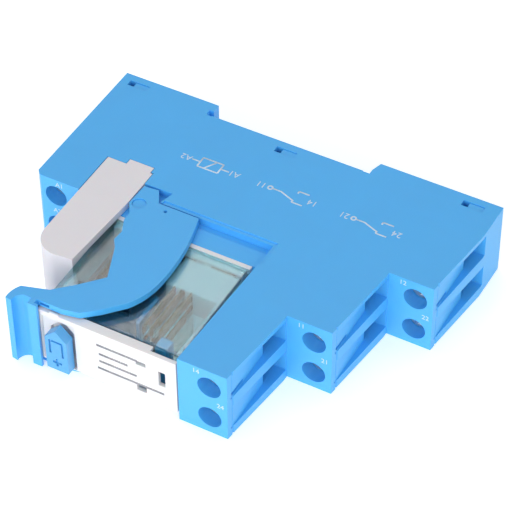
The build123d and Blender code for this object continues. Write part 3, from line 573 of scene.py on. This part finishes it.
def grid_faces(rows: int, columns: int, close_rows: bool, close_columns: bool) -> np.ndarray:
    """Return the quads of a grid of points, wrapped round where a side is closed."""
    steps = np.arange(rows if close_rows else rows - 1)
    turns = np.arange(columns if close_columns else columns - 1)
    row, column = np.meshgrid(steps, turns, indexing="ij")
    below, beside = (row + 1) % rows, (column + 1) % columns
    corners = ((row, column), (below, column), (below, beside), (row, beside))
    return np.stack([down * columns + over for down, over in corners], axis=-1).reshape(-1, 4)


def closed_tube(name: str, path: np.ndarray, radius: float, sides: int = 10) -> Piece:
    """Sweep a circle along a path and close both ends.

    The ring at each point stands across the path's tangent t. Its two directions are n, a fixed reference
    made square to t, and t x n, and a point of the ring is p + radius (cos a n + sin a (t x n)).

    Args:
        name: the piece's name.
        path: points along the centre line, (n, 3), in metres.
        radius: the circle's radius in metres.
        sides: points round the circle.

    Returns:
        The new object.
    """
    tangent = np.gradient(path, axis=0)
    tangent /= np.linalg.norm(tangent, axis=1, keepdims=True)
    reference = np.eye(3)[int(np.argmin(np.ptp(path, axis=0)))]
    across = reference - tangent * (tangent @ reference)[:, None]
    across /= np.linalg.norm(across, axis=1, keepdims=True)
    other = np.cross(tangent, across)
    angle = np.linspace(0, 2 * np.pi, sides, endpoint=False)[None, :, None]
    ring = across[:, None] * np.cos(angle) + other[:, None] * np.sin(angle)
    points = (path[:, None] + radius * ring).reshape(-1, 3)
    faces = grid_faces(len(path), sides, False, True)[:, ::-1].tolist()
    last = (len(path) - 1) * sides
    faces += [list(range(sides))[::-1], [last + i for i in range(sides)]]
    return new_object(name, points, faces)


def turned_points(outline: np.ndarray, axis: str, turns: int) -> np.ndarray:
    """Turn rows of (radius, height) about an axis: (r, h) becomes h axis + r (cos a u + sin a v).

    Args:
        outline: rows of (radius, height) in metres.
        axis: "X", "Y" or "Z". u and v are the next two axes in turn.
        turns: points round the axis.

    Returns:
        The points as a (rows, turns, 3) array.
    """
    own = "XYZ".index(axis)
    angle = np.linspace(0, 2 * np.pi, turns, endpoint=False)
    points = np.zeros((len(outline), turns, 3))
    points[..., own] = outline[:, 1, None]
    points[..., (own + 1) % 3] = outline[:, 0, None] * np.cos(angle)
    points[..., (own + 2) % 3] = outline[:, 0, None] * np.sin(angle)
    return points


def lathe(name: str, profile: np.ndarray, centre: tuple, axis: str, turns: int = 32) -> Piece:
    """Turn a profile about an axis into a shape that is closed at both poles.

    Args:
        name: the piece's name.
        profile: rows of (radius, height) in metres, from one pole to the other.
        centre: the axis's zero point in metres.
        axis: "X", "Y" or "Z".
        turns: points round the axis.

    Returns:
        The new object.
    """
    body = profile[1:-1]
    points = turned_points(body, axis, turns)
    poles = np.zeros((2, 3))
    poles[:, "XYZ".index(axis)] = profile[[0, -1], 1]
    flat = np.concatenate([points.reshape(-1, 3), poles]) + np.array(centre)
    faces = grid_faces(len(body), turns, False, True)[:, ::-1].tolist()
    first, last = len(body) * turns, len(body) * turns + 1
    end = (len(body) - 1) * turns
    faces += [[first, (i + 1) % turns, i] for i in range(turns)]
    faces += [[last, end + i, end + (i + 1) % turns] for i in range(turns)]
    made = new_object(name, flat, faces)
    recalculate(made)
    return made


def turned_ring(name: str, loop: np.ndarray, centre: tuple, axis: str, turns: int = 56) -> Piece:
    """Turn a closed loop about an axis into a ring.

    Args:
        name: the piece's name.
        loop: rows of (radius, height) in metres, a closed outline that doesn't reach the axis.
        centre: the axis's zero point in metres.
        axis: "X", "Y" or "Z".
        turns: points round the axis.

    Returns:
        The new object.
    """
    points = turned_points(loop, axis, turns).reshape(-1, 3) + np.array(centre)
    made = new_object(name, points, grid_faces(len(loop), turns, True, True))
    recalculate(made)
    return made


def flat_strokes(
    name: str, paths: list, place: tuple, right: tuple, up: tuple, width: float, sides: int = 8
) -> Piece:
    """Draw flat printed lines on a plane, each a closed tube whose section is a thin ellipse.

    A path point (a, b) lies at place + a right + b up. The section there is width/2 cos t along the path's
    side direction and PRINT_LIFT sin t along the plane's normal, so the line stands that much proud.

    Args:
        name: the piece's name.
        paths: lists of (a, b) points in millimetres.
        place: the plane's zero point in metres.
        right: unit vector of the first direction.
        up: unit vector of the second direction.
        width: the line's width in metres.
        sides: points round the section.

    Returns:
        The new object, all lines in one mesh.
    """
    normal = np.cross(right, up)
    turn = np.linspace(0, 2 * np.pi, sides, endpoint=False)[None, :, None]
    points, faces, count = [], [], 0
    for path in paths:
        line = np.array(path, float)
        along = np.gradient(line, axis=0)
        along /= np.linalg.norm(along, axis=1, keepdims=True)
        side = np.stack([-along[:, 1], along[:, 0]], axis=1)
        flat = line[:, None] * MM + side[:, None] * (width / 2 * np.cos(turn))
        raised = flat[..., :1] * np.array(right) + flat[..., 1:] * np.array(up)
        raised = raised + PRINT_LIFT * np.sin(turn) * normal + np.array(place)
        points.append(raised.reshape(-1, 3))
        faces += (grid_faces(len(line), sides, False, True) + count).tolist()
        last = count + (len(line) - 1) * sides
        faces += [[count + i for i in range(sides)], [last + i for i in range(sides)][::-1]]
        count += len(line) * sides
    made = new_object(name, np.concatenate(points), faces)
    recalculate(made)
    return made


def letters(name: str, text: str, height: float, place: tuple, right: tuple, up: tuple) -> Piece:
    """Write a short text as closed, slightly raised letters on a plane.

    Args:
        name: the piece's name.
        text: what it says.
        height: the letters' size in metres.
        place: the middle of the text in metres.
        right: unit vector along the text.
        up: unit vector up the letters.

    Returns:
        The new mesh object.
    """
    curve = bpy.data.curves.new(name, "FONT")
    curve.body, curve.size, curve.extrude = text, height, PRINT_LIFT
    curve.align_x, curve.align_y = "CENTER", "CENTER"
    source = bpy.data.objects.new(name + "_text", curve)
    bpy.context.scene.collection.objects.link(source)
    solved = source.evaluated_get(bpy.context.evaluated_depsgraph_get())
    mesh = bpy.data.meshes.new_from_object(solved)
    bpy.data.objects.remove(source)
    turn = Matrix((right, up, tuple(np.cross(right, up)))).transposed().to_4x4()
    turn.translation = Vector(place)
    mesh.transform(turn)
    mesh.name = name
    made = bpy.data.objects.new(name, mesh)
    bpy.context.scene.collection.objects.link(made)
    recalculate(made)
    return made


def recalculate(piece: Piece) -> None:
    """Turn every face of a closed shape outwards."""
    work = bmesh.new()
    work.from_mesh(piece.data)
    bmesh.ops.remove_doubles(work, verts=work.verts, dist=1e-7)
    bmesh.ops.recalc_face_normals(work, faces=work.faces)
    work.to_mesh(piece.data)
    work.free()
    piece.data.update()


def eased_copy(node: str, name: str, width: float) -> Piece:
    """Copy a CAD node, merge its triangles into flat faces and round its edges, as moulding leaves them.

    Only edges that turn by more than EASE_ANGLE are rounded.

    Args:
        node: the CAD node that the copy stands for.
        name: the new piece's name.
        width: the rounding's width in metres.

    Returns:
        The new piece, which replaces the node.
    """
    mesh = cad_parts[node].data.copy()
    mesh.name = name
    work = bmesh.new()
    work.from_mesh(mesh)
    bmesh.ops.remove_doubles(work, verts=work.verts, dist=WELD_GAP)
    bmesh.ops.dissolve_limit(
        work, angle_limit=FLAT_ANGLE, verts=work.verts, edges=work.edges, delimit={"NORMAL"}
    )
    work.to_mesh(mesh)
    work.free()
    mesh.polygons.foreach_set("use_smooth", np.ones(len(mesh.polygons), bool))
    mesh.update()
    made = bpy.data.objects.new(name, mesh)
    bpy.context.scene.collection.objects.link(made)
    rounding = made.modifiers.new("eased_edges", "BEVEL")
    rounding.width = width
    rounding.segments = EASE_SEGMENTS
    rounding.limit_method = "ANGLE"
    rounding.angle_limit = EASE_ANGLE
    rounding.use_clamp_overlap = True
    rounding.harden_normals = True
    rounding.miter_outer = "MITER_ARC"
    shading = made.modifiers.new("flat_faces", "WEIGHTED_NORMAL")
    shading.keep_sharp = False
    shading.weight = 100
    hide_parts(node)
    return made


def merged(name: str, parts: list[Piece]) -> Piece:
    """Join several new objects into one mesh object and remove them."""
    points, faces, count = [], [], 0
    for part in parts:
        mesh = part.data
        flat = np.empty(len(mesh.vertices) * 3)
        mesh.vertices.foreach_get("co", flat)
        points.append(flat.reshape(-1, 3))
        faces += [[count + i for i in face.vertices] for face in mesh.polygons]
        count += len(mesh.vertices)
        bpy.data.objects.remove(part)
    return new_object(name, np.concatenate(points), faces)


# --------------------------------------------------------------------------- sub-assemblies


@dataclass
class Socket:
    """The two moulded halves of the rail socket with its latch and contacts."""

    shop: Workshop
    edge: float = 0.22 * MM
    cover_edge: float = 0.18 * MM
    latch_turns: int = 6
    coil_steps: int = 24
    latch_wire: float = 0.13 * MM
    latch_travel: float = 1.4 * MM

    def build(self) -> None:
        """Round the shells and dress everything that stays with the socket."""
        shell = eased_copy("housing_body", "socket_shell", self.edge)
        self.shop.dress(shell, Finish.SOCKET_BLUE, "socket", "socket_blue")
        cover = eased_copy("housing_cover", "socket_cover", self.cover_edge)
        self.shop.dress(cover, Finish.SOCKET_BLUE, "socket", "socket_blue")
        for node in ("open_bus", "common_bus", "closed_bus", "coil_bus"):
            self.shop.paint(node, Finish.BRASS)
        self.shop.paint("terminal_dividers", Finish.DIVIDER)
        self.shop.paint("rail_latch", Finish.CLIP_BLUE)
        self.build_latch_spring()

    def build_latch_spring(self) -> None:
        """Coil the latch spring: x = start + pitch t, y = ry cos(2 pi t), z = rz sin(2 pi t)."""
        low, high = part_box("rail_latch_spring")
        middle, reach = (low + high) / 2, (high - low) / 2
        t = np.linspace(0, self.latch_turns, self.coil_steps * self.latch_turns + 1)
        run = low.x + self.latch_wire + t / self.latch_turns * (2 * reach.x - 2 * self.latch_wire)
        thin = middle.y + (reach.y - self.latch_wire) * np.cos(2 * np.pi * t)
        tall = middle.z + (reach.z - self.latch_wire) * np.sin(2 * np.pi * t)
        path = np.stack([run, thin, tall], 1)
        spring = closed_tube("flat_coil_spring", path, self.latch_wire, sides=8)
        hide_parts("rail_latch_spring")
        self.shop.dress(spring, Finish.SPRING, "socket", "spring_steel")
        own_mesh(spring)


@dataclass
class Terminals:
    """The eight clamp screws with their cages."""

    shop: Workshop
    count: int = 8
    edge: float = 0.10 * MM

    def build(self) -> None:
        """Round each screw's edges and dress screws and cages."""
        for number in range(1, self.count + 1):
            screw = eased_copy(f"terminal_screw_{number}", f"clamp_screw_{number}", self.edge)
            self.shop.dress(screw, Finish.SCREW, f"screw_{number}", "screw_steel")
            # the cages take the darkened steel, painted shade that darkens the wire windows
            self.shop.paint(f"clamp_cage_{number}", Finish.CAGE_SHADED)


@dataclass
class Clip:
    """The swinging retaining clip."""

    shop: Workshop
    edge: float = 0.20 * MM

    def build(self) -> None:
        """Round the clip and dress it."""
        clip = eased_copy("retaining_clip", "swing_clip", self.edge)
        self.shop.dress(clip, Finish.CLIP_BLUE, "clip", "clip_blue")


@dataclass
class IndicatorModule:
    """The pale plug-in module beside the relay."""

    shop: Workshop
    edge: float = 0.25 * MM

    def build(self) -> None:
        """Round the shell halves and dress the module's insides."""
        for node, name in (("module_shell", "module_case"), ("module_lid", "module_case_lid")):
            piece = eased_copy(node, name, self.edge)
            self.shop.dress(piece, Finish.MODULE_GREY, "module", "module_grey")
        self.shop.paint("module_board", Finish.BOARD)
        self.shop.paint("module_components", Finish.COMPONENT)
        self.shop.paint("module_lamp", Finish.LAMP)
        self.shop.paint("module_blades", Finish.BRASS)


@dataclass
class Relay:
    """The relay with its clear cover, label plate, coil and contacts."""

    shop: Workshop
    edge: float = 0.15 * MM
    wire_pitch: float = 0.34 * MM
    wire_steps: int = 6
    groove_share: float = 0.35
    winding_bore: float = 3.08 * MM
    lead_radius: float = 0.11 * MM
    lead_levels: tuple[float, float] = (2.9 * MM, 1.2 * MM)
    lead_gap: float = 0.25 * MM
    lead_bow: float = 0.35 * MM
    lead_start: float = 0.4 * MM
    lead_run: float = 9.0 * MM
    lead_sway: float = 0.6 * MM
    lead_wave: float = 0.5 * MM
    rivet_rim: float = 0.2 * MM
    rivet_dome: float = 0.35 * MM

    def build(self) -> None:
        """Build every part of the relay."""
        self.build_case()
        self.build_coil()
        self.build_contacts()

    def build_case(self) -> None:
        """Round and dress the base, cover, plate and button."""
        cases = (
            ("relay_base", "relay_foot", Finish.RELAY_WHITE, "relay", "relay_white"),
            ("relay_cover", "relay_can", Finish.CLEAR, "relay", "clear_tint"),
            ("label_plate", "relay_front_plate", Finish.RELAY_WHITE, "relay", "relay_white"),
            ("inner_frame", "relay_inner_frame", Finish.FRAME_BLUE, "relay", "frame_blue"),
            ("test_button", "push_button", Finish.BUTTON_BLUE, "button", "button_blue"),
        )
        for node, name, finish, body, slot in cases:
            self.shop.dress(eased_copy(node, name, self.edge), finish, body, slot)
        self.shop.paint("test_button_spring", Finish.SPRING)

    def build_coil(self) -> None:
        """Dress the coil and the armature."""
        self.shop.paint("coil_bobbin", Finish.BOBBIN)
        self.build_winding()
        self.build_leads()
        for node in ("coil_core", "coil_yoke", "armature"):
            self.shop.paint(node, Finish.IRON)
        self.shop.paint("coil_terminals", Finish.TIN)

    def build_winding(self) -> None:
        """Wind the coil: a ring whose outer radius ripples by |sin| once for each turn of wire."""
        low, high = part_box("coil_winding")
        turns = round((high.y - low.y) / self.wire_pitch)
        along = np.linspace(0, 1, turns * self.wire_steps + 1)
        groove = self.wire_pitch * self.groove_share
        ripple = (high.x - low.x) / 2 - groove * (1 - np.abs(np.sin(np.pi * turns * along)))
        heights = low.y + along * (high.y - low.y)
        bore = [[self.winding_bore, high.y], [self.winding_bore, low.y]]
        loop = np.concatenate([np.stack([ripple, heights], 1), bore])
        centre = ((low.x + high.x) / 2, 0.0, (low.z + high.z) / 2)
        winding = turned_ring("wound_coil", loop, centre, "Y")
        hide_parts("coil_winding")
        self.shop.dress(winding, Finish.WINDING, "relay", "winding_copper")

    def build_leads(self) -> None:
        """Bend the coil's two lead wires beside the bobbin.

        With t from 0 to 1, a lead bows out by sin(pi t), sways along its run by sin(3 pi t) and waves up
        and down by sin(2.5 pi t + number), each times its own size.
        """
        low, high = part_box("coil_bobbin")
        t = np.linspace(0, 1, 40)
        for number, level in enumerate(self.lead_levels, start=1):
            reach = high.x + self.lead_gap + self.lead_bow * np.sin(np.pi * t)
            sway = self.lead_sway * np.sin(3 * np.pi * t)
            run = low.y + self.lead_start + self.lead_run * t + sway
            rise = level + self.lead_wave * np.sin(2.5 * np.pi * t + number)
            path = np.stack([reach, run, rise], 1)
            lead = closed_tube(f"coil_lead_{number}", path, self.lead_radius)
            self.shop.dress(lead, Finish.WIRE, "relay", "contact_tin")

    def build_rivets(self, node: str, name: str, body: str) -> None:
        """Turn domed rivet heads in place of a node's flat ones: r = R cos t, h = rim + dome sin t.

        The moving rivets' domes point outwards along X and the fixed ones' inwards, so each pair can meet.

        Args:
            node: the CAD node, four discs along X.
            name: the new piece's name.
            body: the body that it moves with.
        """
        low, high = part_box(node)
        radius, head = (high.y - low.y) / 2, self.rivet_rim + self.rivet_dome
        t = np.linspace(0, np.pi / 2, 10)
        profile = np.stack([radius * np.cos(t), self.rivet_rim + self.rivet_dome * np.sin(t)], 1)
        profile = np.concatenate([[[0.0, 0.0], [radius, 0.0]], profile])
        profile[-1, 0] = 0.0
        if body == "moving_contacts":
            seats = ((low.x + head, -1), (high.x - head, 1))
        else:
            seats = ((low.x, 1), (high.x, -1))
        made = []
        for base, way in seats:
            shaped = profile * np.array([1.0, way])
            for level in (low.z + radius, high.z - radius):
                made.append(lathe(name, shaped, (base, (low.y + high.y) / 2, level), "X"))
        joined = merged(name, made)
        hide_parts(node)
        self.shop.dress(joined, Finish.SILVER, body, "rivet_silver")

    def build_contacts(self) -> None:
        """Dress the leaves, rivets and the card that moves them."""
        for node in ("moving_leaves", "open_contacts", "closed_contacts"):
            self.shop.paint(node, Finish.COPPER)
        self.build_rivets("moving_rivets", "domed_moving_rivets", "moving_contacts")
        self.build_rivets("fixed_rivets", "domed_fixed_rivets", "relay")
        self.shop.paint("common_terminals", Finish.TIN)
        self.shop.paint("actuator_card", Finish.FRAME_BLUE)


@dataclass
class Prints:
    """Generic prints: terminal numbers, a wiring diagram, and plain lines where the label's text would be.

    The diagram's and the label's own points are in millimetres on their face.
    """

    shop: Workshop
    number_size: float = 1.5 * MM
    number_front: float = 2.8 * MM
    number_levels: tuple[float, float] = (6.75 * MM, -0.1 * MM)
    contact_shifts: tuple[float, float] = (-2.6 * MM, 2.2 * MM)
    coil_shifts: tuple[float, float] = (0.9 * MM, 0.0)
    diagram_level: float = -12.5 * MM
    diagram_size: float = 2.0 * MM
    line: float = 0.34 * MM
    rule: float = 0.55 * MM
    rule_middle: float = 2.0 * MM
    rules: tuple[Triple, ...] = ((-9.6, -1.2, 3.1), (-9.2, -3.2, 0.9), (-9.2, -1.4, -0.9), (-9.6, 4.2, -2.8))

    def build(self) -> None:
        """Print the socket and the relay's front plate."""
        self.build_numbers()
        self.build_diagram()
        self.build_label()

    def build_numbers(self) -> None:
        """Number each pair of screw bores on the front of its tier."""
        columns = (
            (("14", "24"), self.contact_shifts),
            (("11", "21"), self.contact_shifts),
            (("12", "22"), self.contact_shifts),
            (("A1", "A2"), self.coil_shifts),
        )
        for column, (pair, shifts) in enumerate(columns):
            low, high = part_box(f"terminal_screw_{2 * column + 1}")
            x, front = (low.x + high.x) / 2, low.y - self.number_front
            for text, shift, level in zip(pair, shifts, self.number_levels):
                place = (x + shift, front, level)
                piece = letters(f"number_{text}", text, self.number_size, place, (1, 0, 0), (0, 0, 1))
                self.shop.dress(piece, Finish.PRINT_PALE, "socket", "socket_blue")

    @staticmethod
    def coil_symbol() -> list:
        """Return the coil's strokes: a box, a lead on each side and a slanted stroke across."""
        wide, tall, reach, slant = 2.2, 1.3, 4.0, 0.8
        corners = [(-wide, -tall), (wide, -tall), (wide, tall), (-wide, tall)]
        sides = [[corners[i], corners[(i + 1) % 4]] for i in range(4)]
        leads = [[(-reach, 0.0), (-wide, 0.0)], [(wide, 0.0), (reach, 0.0)]]
        return sides + leads + [[(-slant, -tall), (slant, tall)]]

    @staticmethod
    def contact_symbol() -> list:
        """Return a change-over contact's strokes: two fixed ends, the arm, their ticks and a ring."""
        start, corner, level, tick = -3.4, -1.2, 1.6, 1.0
        fixed = [[(start, side * level), (corner, side * level)] for side in (-1, 1)]
        arm = [(-1.4, 1.2), (1.8, 0.0), (3.6, 0.0)]
        ticks = [[(corner, side * level), (corner, side * tick)] for side in (-1, 1)]
        radius, middle = 0.45, 4.1
        around = np.linspace(0, 2 * np.pi, 33)
        ring = list(zip(radius * np.cos(around) + middle, radius * np.sin(around)))
        return fixed + [arm] + ticks + [ring]

    def build_diagram(self) -> None:
        """Draw the coil and the two change-over contacts on the flat side."""
        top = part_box("housing_body")[1].z
        contact = self.contact_symbol()
        marks = (
            ("diagram_coil", self.coil_symbol(), -10.5, (("A1", -5.2), ("A2", 5.2))),
            ("diagram_contact_1", contact, 6.5, (("14", -4.8), ("11", 6.0))),
            ("diagram_contact_2", contact, 24.0, (("24", -4.8), ("21", 6.0))),
        )
        right, up = (-1, 0, 0), (0, -1, 0)
        for name, paths, x, texts in marks:
            piece = flat_strokes(name, paths, (x * MM, self.diagram_level, top), right, up, self.line)
            self.shop.dress(piece, Finish.PRINT_PALE, "socket", "socket_blue")
            for text, shift in texts:
                place = ((x - shift) * MM, self.diagram_level, top)
                number = letters(f"{name}_{text}", text, self.diagram_size, place, right, up)
                self.shop.dress(number, Finish.PRINT_PALE, "socket", "socket_blue")

    def build_label(self) -> None:
        """Rule plain grey lines on the front plate, as long as the lines of text that they stand for."""
        paths = [
            [(start, level), (start + (end - start) / 2, level), (end, level)]
            for start, end, level in self.rules
        ]
        place = (self.rule_middle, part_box("label_plate")[0].y, 0.0)
        piece = flat_strokes("label_rules", paths, place, (1, 0, 0), (0, 0, 1), self.rule)
        self.shop.dress(piece, Finish.PRINT_GREY, "relay", "relay_white")


# --------------------------------------------------------------------------- studio


@dataclass(frozen=True)
class SoftLight:
    """One square area light: its place, its side in metres and its power in watts."""

    name: str
    place: Triple
    size: float
    power: float


LIGHTS = (
    SoftLight("light_over", (-0.25, 0.25, 0.75), 0.7, 1.4),
    SoftLight("light_front", (0.05, -0.85, 0.28), 0.7, 5.0),
    SoftLight("light_right", (0.75, -0.25, 0.30), 0.6, 1.2),
)


@dataclass
class Studio:
    """Floor, light and camera. The camera's angles are in degrees and its lens and sensor in millimetres."""

    shop: Workshop
    azimuth: float = 29.252
    elevation: float = 44.509
    roll: float = -0.492
    distance: float = 0.4239
    target: Triple = (0.00465, -0.02262, 0.0)
    lens: float = 160.53
    sensor: float = 36.0
    clip_start: float = 0.01
    clip_end: float = 10.0
    floor_reach: float = 1.5
    floor_points: int = 7
    floor_gap: float = 0.02 * MM
    air: float = 0.50

    def build(self) -> None:
        """Build the whole studio."""
        self.build_floor()
        self.build_light()
        self.build_camera()

    def build_floor(self) -> None:
        """Lay a pale floor just under the object: a flat grid of points."""
        low, _ = CAD_BOX
        side = np.linspace(-self.floor_reach, self.floor_reach, self.floor_points)
        x, y = np.meshgrid(side, side, indexing="ij")
        z = np.full_like(x, low.z - self.floor_gap)
        points = np.stack([x, y, z], axis=-1).reshape(-1, 3)
        faces = grid_faces(self.floor_points, self.floor_points, False, False)
        floor = new_object("studio_floor", points, faces)
        floor.data.materials.append(PaperFloor().build(self.shop.groups))

    def build_light(self) -> None:
        """Set an even white surround with three soft area lights."""
        world = bpy.data.worlds.new("studio_air")
        bpy.context.scene.world = world
        world.use_nodes = True
        background = world.node_tree.nodes["Background"]
        background.inputs["Color"].default_value = (1.0, 1.0, 1.0, 1.0)
        background.inputs["Strength"].default_value = self.air
        for light in LIGHTS:
            self.add_light(light)

    def add_light(self, light: SoftLight) -> None:
        """Add one square area light that looks at the object."""
        data = bpy.data.lights.new(light.name, "AREA")
        data.size = light.size
        data.energy = light.power
        lamp = bpy.data.objects.new(light.name, data)
        lamp.location = light.place
        lamp.rotation_mode = "QUATERNION"
        sight = Vector(self.target) - Vector(light.place)
        lamp.rotation_quaternion = sight.to_track_quat("-Z", "Y")
        bpy.context.scene.collection.objects.link(lamp)

    def build_camera(self) -> None:
        """Stand the camera on its direction from the target, with a small roll about its own axis."""
        angles = (self.azimuth, self.elevation, self.roll)
        turn, rise, lean = (math.radians(angle) for angle in angles)
        right = Vector((math.cos(turn), math.sin(turn), 0.0))
        level = math.cos(rise)
        back = Vector((math.sin(turn) * level, -math.cos(turn) * level, math.sin(rise)))
        up = back.cross(right)
        turned_right = right * math.cos(lean) + up * math.sin(lean)
        turned_up = up * math.cos(lean) - right * math.sin(lean)
        data = bpy.data.cameras.new("studio_camera")
        data.lens, data.sensor_width = self.lens, self.sensor
        data.clip_start, data.clip_end = self.clip_start, self.clip_end
        camera = bpy.data.objects.new("studio_camera", data)
        stand = Matrix((turned_right, turned_up, back)).transposed().to_4x4()
        stand.translation = Vector(self.target) + back * self.distance
        camera.matrix_world = stand
        bpy.context.scene.collection.objects.link(camera)
        bpy.context.scene.camera = camera
        bpy.context.scene.view_settings.view_transform = "Standard"


def main() -> None:
    """Build the studio and every sub-assembly in order."""
    logging.basicConfig(level=logging.INFO, format="%(name)s: %(message)s")
    shop = Workshop()
    for maker in (Studio, Socket, Terminals, Clip, IndicatorModule, Relay, Prints):
        maker(shop).build()
        LOG.info("finished %s", maker.__name__)


if __name__ == "__main__":
    main()
